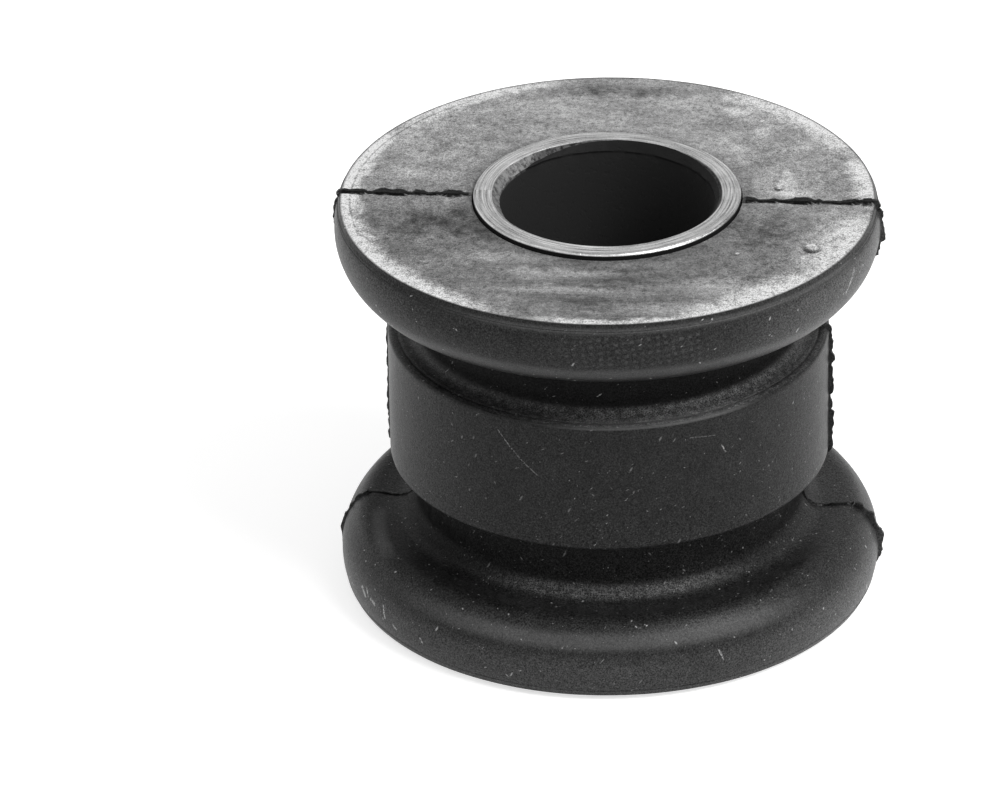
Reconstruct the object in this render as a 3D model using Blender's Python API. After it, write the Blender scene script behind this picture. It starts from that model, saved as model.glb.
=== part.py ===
"""Sway bar bushing: a moulded rubber spool round a turned steel sleeve.

Metres, +Z along the bore, origin at the centre of the sleeve's lower end face.
The two halves of the mould met in the XZ plane, so the flash stands at +X and -X.
"""

import math
import random

import bmesh
import bpy

MM = 0.001

# Steel sleeve
BORE_DIAMETER = 22.5 * MM
SLEEVE_WALL = 2.75 * MM
SLEEVE_LENGTH = 45.0 * MM
MOUTH_CHAMFER_WIDTH = 0.8 * MM
MOUTH_CHAMFER_DEPTH = 0.9 * MM
SLEEVE_EDGE_CHAMFER = 0.2 * MM

# Rubber spool, from the sleeve outwards
SLEEVE_PROUD = 0.6 * MM
SLEEVE_CREVICE = 0.3 * MM
NECK_WALL = 6.1 * MM
GROOVE_DEPTH = 2.85 * MM
FLANGE_OVERHANG = 5.35 * MM
RIM_OVERHANG = 0.6 * MM
BEAD_RADIUS = 6.4 * MM
BEAD_TURN = math.radians(44.0)
CREST_RADIUS = 2.5 * MM
CREST_DIP = math.radians(8.0)
FLANGE_FILLET = 2.2 * MM
BARREL_FILLET = 1.4 * MM
BARREL_LENGTH = 14.6 * MM
BARREL_EDGE_RADIUS = 0.4 * MM

# Flash left where the mould halves met
FLASH_THICKNESS = 0.4 * MM
FLASH_ROOT = 0.5 * MM
FLASH_RIM_HEIGHT = 0.8 * MM
FLASH_BARREL_HEIGHT = 0.7 * MM
FLASH_GROOVE_HEIGHT = 0.25 * MM
FLASH_FACE_HEIGHT = 0.2 * MM
FLASH_LEAST_SHARE = 0.35
FLASH_STEP = 1.1 * MM
FLASH_SEED = 7

# Facets
ROUND_STEPS = 64
BEAD_STEPS = 9
CREST_STEPS = 6
FILLET_STEPS = 5
EDGE_STEPS = 2
WELD = 1e-7
SHARP_ANGLE = math.radians(35.0)

# Sizes that follow from those above
SLEEVE_DIAMETER = BORE_DIAMETER + 2 * SLEEVE_WALL
CORE_DIAMETER = SLEEVE_DIAMETER + 2 * SLEEVE_CREVICE
NECK_DIAMETER = CORE_DIAMETER + 2 * NECK_WALL
BARREL_DIAMETER = NECK_DIAMETER + 2 * GROOVE_DEPTH
FLANGE_DIAMETER = BARREL_DIAMETER + 2 * FLANGE_OVERHANG
FACE_DIAMETER = FLANGE_DIAMETER - 2 * RIM_OVERHANG
RUBBER_LENGTH = SLEEVE_LENGTH - 2 * SLEEVE_PROUD


def clear_scene():
    for old in list(bpy.data.objects):
        bpy.data.objects.remove(old, do_unlink=True)


def material(name, colour, roughness, metallic):
    made = bpy.data.materials.new(name)
    made.use_nodes = True
    shader = made.node_tree.nodes["Principled BSDF"]
    shader.inputs["Base Color"].default_value = (*colour, 1.0)
    shader.inputs["Roughness"].default_value = roughness
    shader.inputs["Metallic"].default_value = metallic
    return made


def arc(centre, radius, start, end, steps):
    """Points of an arc in the (r, z) half plane, both ends included."""
    return [
        (
            centre[0] + radius * math.cos(start + (end - start) * i / steps),
            centre[1] + radius * math.sin(start + (end - start) * i / steps),
        )
        for i in range(steps + 1)
    ]


def rounded_corner(before, corner, after, radius, steps):
    """The arc that rounds the corner of a path through three points, no wider than its legs allow."""
    into = math.atan2(corner[1] - before[1], corner[0] - before[0])
    out = math.atan2(after[1] - corner[1], after[0] - corner[0])
    turn = math.remainder(out - into, 2 * math.pi)
    side = math.copysign(math.pi / 2, turn)
    room = min(math.dist(before, corner), math.dist(corner, after) / 2)
    reach = min(radius * math.tan(abs(turn) / 2), room)
    radius = reach / math.tan(abs(turn) / 2)
    start = (corner[0] - reach * math.cos(into), corner[1] - reach * math.sin(into))
    centre = (
        start[0] + radius * math.cos(into + side),
        start[1] + radius * math.sin(into + side),
    )
    return arc(centre, radius, into - side, into - side + turn, steps)


def upper_half_outline():
    """The spool's outer side from the edge of its upper end face down to mid length, z from mid length."""
    half = RUBBER_LENGTH / 2
    bead_r = FLANGE_DIAMETER / 2 - BEAD_RADIUS
    bead_depth = math.sqrt(BEAD_RADIUS**2 - (FACE_DIAMETER / 2 - bead_r) ** 2)
    bead = (bead_r, half - bead_depth)
    bead_start = math.asin(bead_depth / BEAD_RADIUS)

    inset = BEAD_RADIUS - CREST_RADIUS
    crest = (
        bead[0] + inset * math.cos(BEAD_TURN),
        bead[1] - inset * math.sin(BEAD_TURN),
    )
    crest_end = -math.pi / 2 - CREST_DIP
    path = arc(bead, BEAD_RADIUS, bead_start, -BEAD_TURN, BEAD_STEPS)
    path += arc(crest, CREST_RADIUS, -BEAD_TURN, crest_end, CREST_STEPS)[1:]

    neck_r = NECK_DIAMETER / 2
    barrel_r = BARREL_DIAMETER / 2
    barrel_z = BARREL_LENGTH / 2
    floor = (neck_r, path[-1][1] + (path[-1][0] - neck_r) * math.tan(CREST_DIP))
    shoulder = (neck_r, barrel_z)
    edge = (barrel_r, barrel_z)
    path += rounded_corner(path[-1], floor, shoulder, FLANGE_FILLET, FILLET_STEPS)
    path += rounded_corner(path[-1], shoulder, edge, BARREL_FILLET, FILLET_STEPS)
    path += rounded_corner(path[-1], edge, (barrel_r, 0.0), BARREL_EDGE_RADIUS, EDGE_STEPS)
    return path


def spool_outline():
    """The whole outer side, top to bottom, with z from the rubber's lower end face."""
    upper = upper_half_outline()
    half = RUBBER_LENGTH / 2
    lower = [(r, -z) for r, z in reversed(upper)]
    return [(r, half + z) for r, z in upper + lower]


def sleeve_outline():
    """The sleeve's closed section, counted from its lower end face."""
    outer = SLEEVE_DIAMETER / 2
    bore = BORE_DIAMETER / 2
    mouth = bore + MOUTH_CHAMFER_WIDTH
    lower_half = [
        (bore, MOUTH_CHAMFER_DEPTH),
        (mouth, 0.0),
        (outer - SLEEVE_EDGE_CHAMFER, 0.0),
        (outer, SLEEVE_EDGE_CHAMFER),
    ]
    return lower_half + [(r, SLEEVE_LENGTH - z) for r, z in reversed(lower_half)]


def new_object(name, work, finish):
    bmesh.ops.recalc_face_normals(work, faces=work.faces[:])
    mesh = bpy.data.meshes.new(name)
    work.to_mesh(mesh)
    work.free()
    mesh.shade_smooth()
    mesh.set_sharp_from_angle(angle=SHARP_ANGLE)
    mesh.materials.append(finish)
    made = bpy.data.objects.new(name, mesh)
    bpy.context.scene.collection.objects.link(made)
    return made


def turned(name, section, finish):
    """A closed section in the (r, z) half plane, spun once round Z."""
    work = bmesh.new()
    corners = [work.verts.new((r, 0.0, z)) for r, z in section]
    edges = [work.edges.new((a, b)) for a, b in zip(corners, corners[1:] + corners[:1])]
    bmesh.ops.spin(
        work,
        geom=corners + edges,
        cent=(0.0, 0.0, 0.0),
        axis=(0.0, 0.0, 1.0),
        angle=2 * math.pi,
        steps=ROUND_STEPS,
    )
    bmesh.ops.remove_doubles(work, verts=work.verts[:], dist=WELD)
    return new_object(name, work, finish)


def even_steps(path, step):
    """The path's points at even distances, so that the flash's teeth are alike everywhere."""
    lengths = [math.dist(a, b) for a, b in zip(path, path[1:])]
    total = sum(lengths)
    count = round(total / step)
    points = []
    for i in range(count + 1):
        left = total * i / count
        for (a, b), length in zip(zip(path, path[1:]), lengths):
            if left <= length or (a, b) == (path[-2], path[-1]):
                share = min(left / length, 1.0)
                points.append((a[0] + (b[0] - a[0]) * share, a[1] + (b[1] - a[1]) * share))
                break
            left -= length
    return points


def flash_height(r, z):
    """How far the flash can stand out here: most on the flange rims, least on the end faces."""
    from_end = min(z, RUBBER_LENGTH - z)
    barrel_start = (RUBBER_LENGTH - BARREL_LENGTH) / 2
    if from_end < WELD and r < FACE_DIAMETER / 2 - FLASH_STEP:
        return FLASH_FACE_HEIGHT
    if r > BARREL_DIAMETER / 2 + CREST_RADIUS:
        return FLASH_RIM_HEIGHT
    if from_end >= barrel_start:
        return FLASH_BARREL_HEIGHT
    return FLASH_GROOVE_HEIGHT


def flash_section():
    """The fin's closed section at +X: a ragged outer edge, and a root set into the rubber."""
    inner = CORE_DIAMETER / 2 + FLASH_ROOT
    path = [(inner, RUBBER_LENGTH)] + spool_outline() + [(inner, 0.0)]
    path = even_steps(path, FLASH_STEP)
    dice = random.Random(FLASH_SEED)
    ragged = []
    root = []
    for i, (r, z) in enumerate(path):
        before = path[max(i - 1, 0)]
        after = path[min(i + 1, len(path) - 1)]
        run = math.dist(before, after)
        out = ((before[1] - after[1]) / run, (after[0] - before[0]) / run)
        share = FLASH_LEAST_SHARE + (1 - FLASH_LEAST_SHARE) * dice.random()
        widest = abs(r - FLANGE_DIAMETER / 2) < FLASH_STEP / 4
        height = flash_height(r, z) * (1.0 if widest else share)
        ragged.append((r + out[0] * height, z + out[1] * height))
        root.append((r - out[0] * FLASH_ROOT, z - out[1] * FLASH_ROOT))
    return ragged + root[::-1]


def flash_fin(name, side, finish):
    """One flat fin in the XZ plane, at +X or -X, that the rubber is united with."""
    work = bmesh.new()
    near = [
        work.verts.new((side * r, -FLASH_THICKNESS / 2, z + SLEEVE_PROUD))
        for r, z in flash_section()
    ]
    face = work.faces.new(near)
    grown = bmesh.ops.extrude_face_region(work, geom=[face])
    far = [item for item in grown["geom"] if isinstance(item, bmesh.types.BMVert)]
    bmesh.ops.translate(work, verts=far, vec=(0.0, FLASH_THICKNESS, 0.0))
    fin = new_object(name, work, finish)
    fin.hide_render = True
    fin.display_type = "WIRE"
    return fin


def rubber_body(finish):
    inner = CORE_DIAMETER / 2
    section = [(inner, RUBBER_LENGTH)] + spool_outline() + [(inner, 0.0)]
    section = [(r, z + SLEEVE_PROUD) for r, z in section]
    body = turned("rubber_body", section, finish)
    for side, name in ((1, "flash_right"), (-1, "flash_left")):
        union = body.modifiers.new(name, "BOOLEAN")
        union.operation = "UNION"
        union.solver = "EXACT"
        union.object = flash_fin(name, side, finish)
    return body


def inner_sleeve(finish):
    return turned("inner_sleeve", sleeve_outline(), finish)


def main():
    clear_scene()
    rubber = material("moulded_rubber", (0.030, 0.030, 0.030), 0.55, 0.0)
    steel = material("turned_steel", (0.42, 0.41, 0.40), 0.38, 1.0)
    rubber_body(rubber)
    inner_sleeve(steel)


main()
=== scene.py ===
"""A sway bar bushing, dressed: a moulded rubber spool on a turned steel sleeve, on a pale studio floor.

Laid out as an add-on and run as a script. Metres, +Z along the bore. The mould's halves met in the
XZ plane, so the flash stands at +X and -X. Values in millimetres say so in their names or comments.
"""

import math
from functools import reduce

import bmesh
import bpy
from bpy.props import FloatProperty, FloatVectorProperty, IntProperty, PointerProperty
from bpy.types import Operator, Panel, PropertyGroup
from mathutils import Euler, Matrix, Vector, noise


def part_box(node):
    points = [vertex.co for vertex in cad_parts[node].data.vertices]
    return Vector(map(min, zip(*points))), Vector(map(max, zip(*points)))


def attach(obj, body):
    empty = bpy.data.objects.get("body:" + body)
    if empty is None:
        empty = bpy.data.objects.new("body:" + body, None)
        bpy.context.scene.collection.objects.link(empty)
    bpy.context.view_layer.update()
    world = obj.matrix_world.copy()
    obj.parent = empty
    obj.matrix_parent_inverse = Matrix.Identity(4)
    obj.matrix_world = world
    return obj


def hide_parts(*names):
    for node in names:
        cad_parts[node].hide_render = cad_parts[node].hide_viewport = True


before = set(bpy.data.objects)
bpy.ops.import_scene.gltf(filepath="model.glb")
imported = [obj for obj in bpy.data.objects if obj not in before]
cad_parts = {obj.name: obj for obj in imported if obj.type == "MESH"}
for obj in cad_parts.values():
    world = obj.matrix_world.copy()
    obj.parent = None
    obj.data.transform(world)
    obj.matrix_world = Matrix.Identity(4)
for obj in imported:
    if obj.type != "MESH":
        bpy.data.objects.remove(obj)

bl_info = {
    "name": "Sway bar bushing",
    "version": (1, 0, 0),
    "blender": (4, 5, 0),
    "location": "3D View > Sidebar > Bushing",
    "description": "Models a rubber bushing on a steel sleeve and sets it on a studio floor",
    "category": "Object",
}

MM = 0.001
TO_MM = 1000.0
WELD = 1e-6
SHARP_ANGLE = math.radians(40.0)

SLEEVE_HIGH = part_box("inner_sleeve")[1]
RUBBER_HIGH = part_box("rubber_body")[1]
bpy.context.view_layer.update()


# Sizes and colours that a user would change

def length(name, description, size_mm):
    size = size_mm * MM
    return FloatProperty(name=name, description=description, default=size, unit="LENGTH", precision=5)


def angle(name, description, degrees):
    turn = math.radians(degrees)
    return FloatProperty(name=name, description=description, default=turn, subtype="ANGLE")


def share(name, description, part):
    return FloatProperty(name=name, description=description, default=part, min=0.0, max=1.0, subtype="FACTOR")


def grey(name, description, level):
    return FloatVectorProperty(
        name=name, description=description, default=(level, level, level), subtype="COLOR", min=0.0, max=1.0
    )


class SleeveSizes(PropertyGroup):
    diameter: length("Diameter", "Outside diameter", 2 * SLEEVE_HIGH.x * TO_MM)
    length: length("Length", "Length of the sleeve", SLEEVE_HIGH.z * TO_MM)
    bore: length("Bore", "Diameter of the bore", 22.5)
    mouth_width: length("Mouth width", "Width of the chamfer at each mouth", 0.8)
    mouth_depth: length("Mouth depth", "Depth of the chamfer at each mouth", 0.9)
    edge: length("Edge", "Chamfer on the outer edge of each end", 0.2)
    ridge_pitch: length("Ridge pitch", "Distance between the turned ridges", 0.42)
    ridge_depth: length("Ridge depth", "Depth of the turned lines", 0.035)
    nick: length("Nicks", "How far the mouth's inner edge is nicked", 0.10)
    steel: grey("Steel", "Colour of the turned end faces", 0.40)
    # Painted shade: colour of the dark sheet laid in the bore and on the sleeve's proud outer wall
    painted_shade: grey("Film", "Colour of the dark film in the bore", 0.011)


class RubberSizes(PropertyGroup):
    crevice: length("Crevice", "Gap between the sleeve and the rubber", 0.14)
    proud: length("Proud", "How far the sleeve stands out of the rubber", 0.6)
    flange: length("Flange", "Diameter of the flanges", 2 * RUBBER_HIGH.y * TO_MM)
    rim_overhang: length("Rim overhang", "How far the flange swells past the end face", 0.6)
    bead: length("Bead radius", "Radius of the flange's rounded edge", 6.4)
    bead_turn: angle("Bead turn", "Where the bead gives way to the crest", 44.0)
    crest: length("Crest radius", "Radius of the flange's inner crest", 2.5)
    crest_dip: angle("Crest dip", "How far the crest dips into the groove", 8.0)
    neck: length("Neck", "Diameter at the bottom of the grooves", 40.8)
    flange_fillet: length("Flange fillet", "Fillet between flange and neck", 2.2)
    barrel_fillet: length("Barrel fillet", "Fillet between neck and barrel shoulder", 1.4)
    barrel: length("Barrel", "Diameter of the barrel", 46.5)
    barrel_length: length("Barrel length", "Length of the barrel", 14.6)
    barrel_edge: length("Barrel edge", "Radius on the barrel's edges", 0.4)
    line_depth: length("Line depth", "Depth of the fine mould lines", 0.07)
    rubber: grey("Rubber", "Colour of the clean rubber", 0.012)
    dust: grey("Dust", "Colour of the dusty end faces", 0.25)
    chalk: grey("Chalk", "Colour of the palest marks", 0.75)


class FlashSizes(PropertyGroup):
    half_width: length("Half width", "Half the thickness of the flash", 0.17)
    rim_height: length("Rim height", "Height of the flash on the flanges", 0.78)
    barrel_height: length("Barrel height", "Height of the flash on the barrel", 0.70)
    groove_height: length("Groove height", "Height of the flash in the grooves", 0.30)
    face_height: length("Face height", "Height of the flash on the end faces", 0.34)
    least: share("Least share", "The lowest stretches as a share of the full height", 0.25)
    left: share("Left share", "Height at the left as a share of the right", 0.55)
    seed: IntProperty(name="Seed", description="Changes where the flash is torn", default=7)


class StageSizes(PropertyGroup):
    floor: length("Floor", "Width of the floor", 6000.0)
    azimuth: angle("Azimuth", "Turn of the camera round the bushing", 4.0)
    elevation: angle("Elevation", "Height of the camera above the horizon", 28.667)
    distance: length("Distance", "From the camera to the bushing's middle", 893.4)
    middle: length("Middle", "Height of that middle", 23.46)
    roll: angle("Roll", "How far the camera leans", -0.936)
    lens: FloatProperty(name="Lens", description="Focal length in millimetres", default=303.5, unit="CAMERA")


# Shapes of the half sections, as (radius, height) pairs

def arc(centre, radius, start, end, steps):
    """Points of an arc, both ends included."""
    sweep = [start + (end - start) * i / steps for i in range(steps + 1)]
    return [(centre[0] + radius * math.cos(a), centre[1] + radius * math.sin(a)) for a in sweep]


def rounded_corner(before, corner, after, radius, steps):
    """The arc that rounds the corner of a path through three points."""
    into = math.atan2(corner[1] - before[1], corner[0] - before[0])
    out = math.atan2(after[1] - corner[1], after[0] - corner[0])
    turn = math.remainder(out - into, 2 * math.pi)
    side = math.copysign(math.pi / 2, turn)
    reach = radius * math.tan(abs(turn) / 2)
    start = (corner[0] - reach * math.cos(into), corner[1] - reach * math.sin(into))
    centre = (start[0] + radius * math.cos(into + side), start[1] + radius * math.sin(into + side))
    return arc(centre, radius, into - side, into - side + turn, steps)


def run(start, end, step):
    """Points along a straight stretch, no further apart than the step, without its end."""
    count = max(1, math.ceil(math.dist(start, end) / step))
    shares = [i / count for i in range(count)]
    return [(start[0] + (end[0] - start[0]) * k, start[1] + (end[1] - start[1]) * k) for k in shares]


def filled(path, step):
    """The path with its long stretches divided."""
    points = []
    for a, b in zip(path, path[1:]):
        points += run(a, b, step)
    return points + [path[-1]]


def scored(path, where, width, depth):
    """The path with one fine line pressed into it, where a given share of its length is reached."""
    lengths = [math.dist(a, b) for a, b in zip(path, path[1:])]
    left = where * sum(lengths)
    for i, stretch in enumerate(lengths):
        if left <= stretch:
            break
        left -= stretch
    a, b = path[i], path[i + 1]
    along = ((b[0] - a[0]) / lengths[i], (b[1] - a[1]) / lengths[i])
    inward = (along[1], -along[0])
    line = []
    for offset, share_of_depth in ((-width, 0.0), (-width / 3, 1.0), (width / 3, 1.0), (width, 0.0)):
        s = left + offset
        d = depth * share_of_depth
        line.append((a[0] + along[0] * s + inward[0] * d, a[1] + along[1] * s + inward[1] * d))
    return path[: i + 1] + line + path[i + 1:]


BEAD_STEPS = 34
CREST_STEPS = 18
FILLET_STEPS = 9
EDGE_STEPS = 3
MOUTH_STEPS = 5
BORE_END_STEPS = 8
BORE_END = 3 * MM
SKIN_STEP = 0.36 * MM
FACE_STEP = 0.42 * MM
CORE_STEP = 6.0 * MM
RIM_LINE_DROP = 0.75 * MM
SHOULDER_LINE_INSET = 1.15 * MM
LINE_WIDTH = 0.14 * MM


def half_outline(sizes, line_depth):
    """The spool's outer side from the edge of an end face to mid length, with heights from mid length."""
    half = SLEEVE_HIGH.z / 2 - sizes.proud
    bead_r = sizes.flange / 2 - sizes.bead
    bead_depth = math.sqrt(sizes.bead**2 - (sizes.bead - sizes.rim_overhang) ** 2)
    bead = (bead_r, half - bead_depth)
    bead_start = math.asin(bead_depth / sizes.bead)
    inset = sizes.bead - sizes.crest
    crest = (bead_r + inset * math.cos(sizes.bead_turn), bead[1] - inset * math.sin(sizes.bead_turn))
    crest_end = -math.pi / 2 - sizes.crest_dip
    path = arc(bead, sizes.bead, bead_start, -sizes.bead_turn, BEAD_STEPS)
    bead_length = sizes.bead * (bead_start + sizes.bead_turn)
    path = scored(path, RIM_LINE_DROP / bead_length, LINE_WIDTH, line_depth)
    path += arc(crest, sizes.crest, -sizes.bead_turn, crest_end, CREST_STEPS)[1:]

    neck_r = sizes.neck / 2
    barrel_r = sizes.barrel / 2
    barrel_z = sizes.barrel_length / 2
    floor = (neck_r, path[-1][1] + (path[-1][0] - neck_r) * math.tan(sizes.crest_dip))
    shoulder = (neck_r, barrel_z)
    edge = (barrel_r, barrel_z)
    path += rounded_corner(path[-1], floor, shoulder, sizes.flange_fillet, FILLET_STEPS)
    path += rounded_corner(path[-1], shoulder, edge, sizes.barrel_fillet, FILLET_STEPS)
    rounding = rounded_corner(path[-1], edge, (barrel_r, 0.0), sizes.barrel_edge, EDGE_STEPS)
    ledge = [path[-1], rounding[0]]
    where = 1 - SHOULDER_LINE_INSET / 2 / math.dist(*ledge)
    return path[:-1] + scored(ledge, where, LINE_WIDTH, line_depth)[:-1] + rounding


def spool_section(sizes):
    """The closed section of the rubber, from the inner edge of its upper face and back to it."""
    upper = filled(half_outline(sizes, sizes.line_depth), SKIN_STEP)
    lower = filled(half_outline(sizes, 0.0), SKIN_STEP)
    core_r = SLEEVE_HIGH.x + sizes.crevice
    top = SLEEVE_HIGH.z - sizes.proud
    middle = SLEEVE_HIGH.z / 2
    outer = [(r, middle + z) for r, z in upper]
    barrel_r, barrel_z = outer[-1]
    outer += run((barrel_r, barrel_z), (barrel_r, 2 * middle - barrel_z), SKIN_STEP)[1:]
    outer += [(r, middle - z) for r, z in reversed(lower)]
    face_edge = outer[0][0]
    face = run((core_r, top), (face_edge, top), FACE_STEP)
    under = run((face_edge, sizes.proud), (core_r, sizes.proud), FACE_STEP)[1:]
    core = run((core_r, sizes.proud), (core_r, top), CORE_STEP)
    return face + outer + under + core


def ridged_face(sizes, inner, outer):
    """The sleeve's end face from its mouth outwards, as (radius, depth) pairs with turned lines."""
    count = round((outer - inner) / sizes.ridge_pitch)
    pitch = (outer - inner) / count
    points = [(inner, 0.0)]
    for i in range(count):
        start = inner + pitch * i
        depth = sizes.ridge_depth * (1.0 if i % 2 else 0.6)
        points += [(start + pitch * 0.35, 0.0), (start + pitch * 0.55, depth), (start + pitch * 0.72, depth)]
        points += [(start + pitch, 0.0)]
    return points


def sleeve_section(sizes):
    """The closed section of the sleeve, from its lower mouth, up the bore and down the outer wall."""
    bore = sizes.bore / 2
    mouth = bore + sizes.mouth_width
    outer = sizes.diameter / 2
    mouth_run = run((bore, sizes.mouth_depth), (mouth, 0.0), sizes.mouth_width / MOUTH_STEPS)
    end = mouth_run + ridged_face(sizes, mouth, outer - sizes.edge) + [(outer, sizes.edge)]
    upper = [(r, sizes.length - z) for r, z in end]
    low, high = sizes.mouth_depth, sizes.length - sizes.mouth_depth
    fine_step = BORE_END / BORE_END_STEPS
    bore_wall = run((bore, low), (bore, low + BORE_END), fine_step)
    bore_wall += run((bore, low + BORE_END), (bore, high - BORE_END), CORE_STEP)
    bore_wall += run((bore, high - BORE_END), (bore, high), fine_step)
    outer_wall = run((outer, sizes.length - sizes.edge), (outer, sizes.edge), CORE_STEP)
    return bore_wall + upper[:-1] + outer_wall + end[:0:-1]


# Modelling steps

class Step:
    bl_options = {"REGISTER", "UNDO"}


def enter(mode):
    bpy.ops.object.mode_set(mode=mode)


def start_clean():
    if bpy.context.object and bpy.context.object.mode != "OBJECT":
        enter("OBJECT")
    bpy.ops.object.select_all(action="DESELECT")


def draw_section(name, section):
    """A closed chain of edges in the XZ plane, drawn by extruding one vertex from point to point."""
    start_clean()
    bpy.ops.mesh.primitive_plane_add(size=MM)
    piece = bpy.context.object
    piece.name = name
    enter("EDIT")
    bpy.ops.mesh.merge(type="CENTER")
    bpy.ops.transform.translate(value=(section[0][0], 0.0, section[0][1]))
    for (r0, z0), (r1, z1) in zip(section, section[1:]):
        bpy.ops.mesh.extrude_vertices_move(TRANSFORM_OT_translate={"value": (r1 - r0, 0.0, z1 - z0)})
    enter("OBJECT")
    ends = (0, len(section) - 1)
    for i, vertex in enumerate(piece.data.vertices):
        vertex.select = i in ends
    enter("EDIT")
    bpy.ops.mesh.edge_face_add()
    return piece


def spin_section(turns):
    """Turns the drawn section round the bore by each (angle, steps) in order, and welds it shut."""
    bpy.ops.mesh.select_all(action="SELECT")
    for turn, steps in turns:
        bpy.ops.mesh.spin(steps=steps, angle=turn, center=(0.0, 0.0, 0.0), axis=(0.0, 0.0, 1.0))
    bpy.ops.mesh.select_all(action="SELECT")
    bpy.ops.mesh.remove_doubles(threshold=WELD)
    bpy.ops.mesh.normals_make_consistent(inside=False)
    enter("OBJECT")


def pick(piece):
    start_clean()
    piece.select_set(True)
    bpy.context.view_layer.objects.active = piece


def smooth(piece):
    pick(piece)
    bpy.ops.object.shade_smooth_by_angle(angle=SHARP_ANGLE)


def dress(piece, material, node=None):
    piece.data.materials.clear()
    piece.data.materials.append(material)
    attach(piece, "root")
    if node:
        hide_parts(node)


def falling(value, full, none):
    """One at or before full, nothing at or past none, smooth between."""
    k = min(max((value - full) / (none - full), 0.0), 1.0)
    return 1.0 - k * k * (3.0 - 2.0 * k)


def ripple(place, per_metre, seed=0.0):
    """Smooth noise between -1 and 1 at a place."""
    return noise.noise(Vector(place) * per_metre + Vector((seed, 2.3 * seed, 5.1 * seed)))


def rippled(spot, waves, seed, middle):
    """The middle value with ripples added, one for each (strength, waves per metre)."""
    ripples = (strength * ripple(spot, per_metre, seed + i) for i, (strength, per_metre) in enumerate(waves))
    return sum(ripples, middle)


# Short calls that build a material's nodes

class Wiring:
    def __init__(self, name):
        self.material = bpy.data.materials.new(name)
        self.material.use_nodes = True
        self.tree = self.material.node_tree
        self.shader = self.tree.nodes["Principled BSDF"]

    def set(self, socket, value):
        if isinstance(value, bpy.types.NodeSocket):
            self.tree.links.new(value, socket)
        else:
            socket.default_value = value

    def finish(self, name, value):
        self.set(self.shader.inputs[name], value)

    def fed(self, kind, *values):
        """A new node of this kind, with its first inputs set."""
        node = self.tree.nodes.new(kind)
        for socket, value in zip(node.inputs, values):
            self.set(socket, value)
        return node

    def math(self, operation, *values, clamp=False):
        node = self.fed("ShaderNodeMath", *values)
        node.operation = operation
        node.use_clamp = clamp
        return node.outputs[0]

    def vector(self, operation, *values, scale=None):
        node = self.fed("ShaderNodeVectorMath", *values)
        node.operation = operation
        if scale is not None:
            self.set(node.inputs["Scale"], scale)
        return node.outputs["Value" if operation in ("LENGTH", "DOT_PRODUCT", "DISTANCE") else "Vector"]

    def combine(self, x, y, z):
        return self.fed("ShaderNodeCombineXYZ", x, y, z).outputs[0]

    def separate(self, vector):
        return tuple(self.fed("ShaderNodeSeparateXYZ", vector).outputs)

    def place_mm(self):
        """The point on the piece, in millimetres."""
        node = self.tree.nodes.new("ShaderNodeTexCoord")
        return self.vector("SCALE", node.outputs["Object"], scale=TO_MM)

    def noise(self, vector, per_mm, detail=2.0, roughness=0.5, distortion=0.0):
        node = self.fed("ShaderNodeTexNoise", vector)
        names = ("Scale", "Detail", "Roughness", "Distortion")
        for name, value in zip(names, (per_mm, detail, roughness, distortion)):
            node.inputs[name].default_value = value
        return node.outputs["Fac"]

    def cells(self, vector, per_mm):
        """The distance to the nearest random point, in cells, and that point's own random number."""
        node = self.fed("ShaderNodeTexVoronoi", vector)
        node.inputs["Scale"].default_value = per_mm
        return node.outputs["Distance"], self.separate(node.outputs["Color"])[0]

    def ease(self, value, start, end, low=0.0, high=1.0):
        """From low at start to high at end, smooth between and level outside."""
        node = self.tree.nodes.new("ShaderNodeMapRange")
        node.interpolation_type = "SMOOTHSTEP"
        ends = (end, start, high, low) if start > end else (start, end, low, high)
        for socket, number in zip(node.inputs, (value, *ends)):
            self.set(socket, number)
        return node.outputs[0]

    def blend(self, factor, a, b):
        """a where the factor is 0 and b where it is 1."""
        node = self.tree.nodes.new("ShaderNodeMix")
        for i, value in ((0, factor), (2, a), (3, b)):
            self.set(node.inputs[i], value)
        return node.outputs[0]

    def zone(self, *limits):
        """Where all the limits hold, each an ease written as (value, start, end, low, high)."""
        return self.product(*(self.ease(*limit) for limit in limits))

    def window(self, value, none, full, full_end, none_end):
        """One from full to full_end, and nothing before none or after none_end."""
        return self.zone((value, none, full), (value, none_end, full_end))

    def minus(self, a, b):
        return self.math("SUBTRACT", a, b)

    def off(self, value, middle):
        """How far the value is from the middle."""
        return self.math("ABSOLUTE", self.minus(value, middle))

    def plus(self, value, mark, strength):
        return self.math("MULTIPLY_ADD", mark, strength, value)

    def sway(self, noise_value, amount, middle):
        """The middle value, swayed up and down by noise."""
        return self.plus(middle, self.minus(noise_value, 0.5), amount)

    def swing(self, value, *sways):
        """The value, swung up and down round itself by each (noise, amount)."""
        for noise_value, amount in sways:
            value = self.product(value, self.sway(noise_value, amount, 1.0))
        return value

    def product(self, *values):
        return reduce(lambda a, b: self.math("MULTIPLY", a, b), values)

    def most(self, *values):
        return reduce(lambda a, b: self.math("MAXIMUM", a, b), values)

    def stroke(self, place, start, end, width):
        """One on the line from start to end, falling to nothing at its width."""
        run_along = Vector(end) - Vector(start)
        from_start = self.vector("SUBTRACT", place, start)
        k = self.vector("DOT_PRODUCT", from_start, tuple(run_along))
        k = self.math("DIVIDE", k, run_along.length_squared, clamp=True)
        on_line = self.vector("SCALE", tuple(run_along), scale=k)
        gap = self.vector("DISTANCE", from_start, on_line)
        return self.ease(gap, width, width * 0.3)

    def attribute(self, name):
        node = self.tree.nodes.new("ShaderNodeAttribute")
        node.attribute_name = name
        return node.outputs["Fac"]

    def bump(self, height, distance, strength):
        node = self.tree.nodes.new("ShaderNodeBump")
        node.inputs["Distance"].default_value = distance
        node.inputs["Strength"].default_value = strength
        self.set(node.inputs["Height"], height)
        return node.outputs[0]


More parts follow.
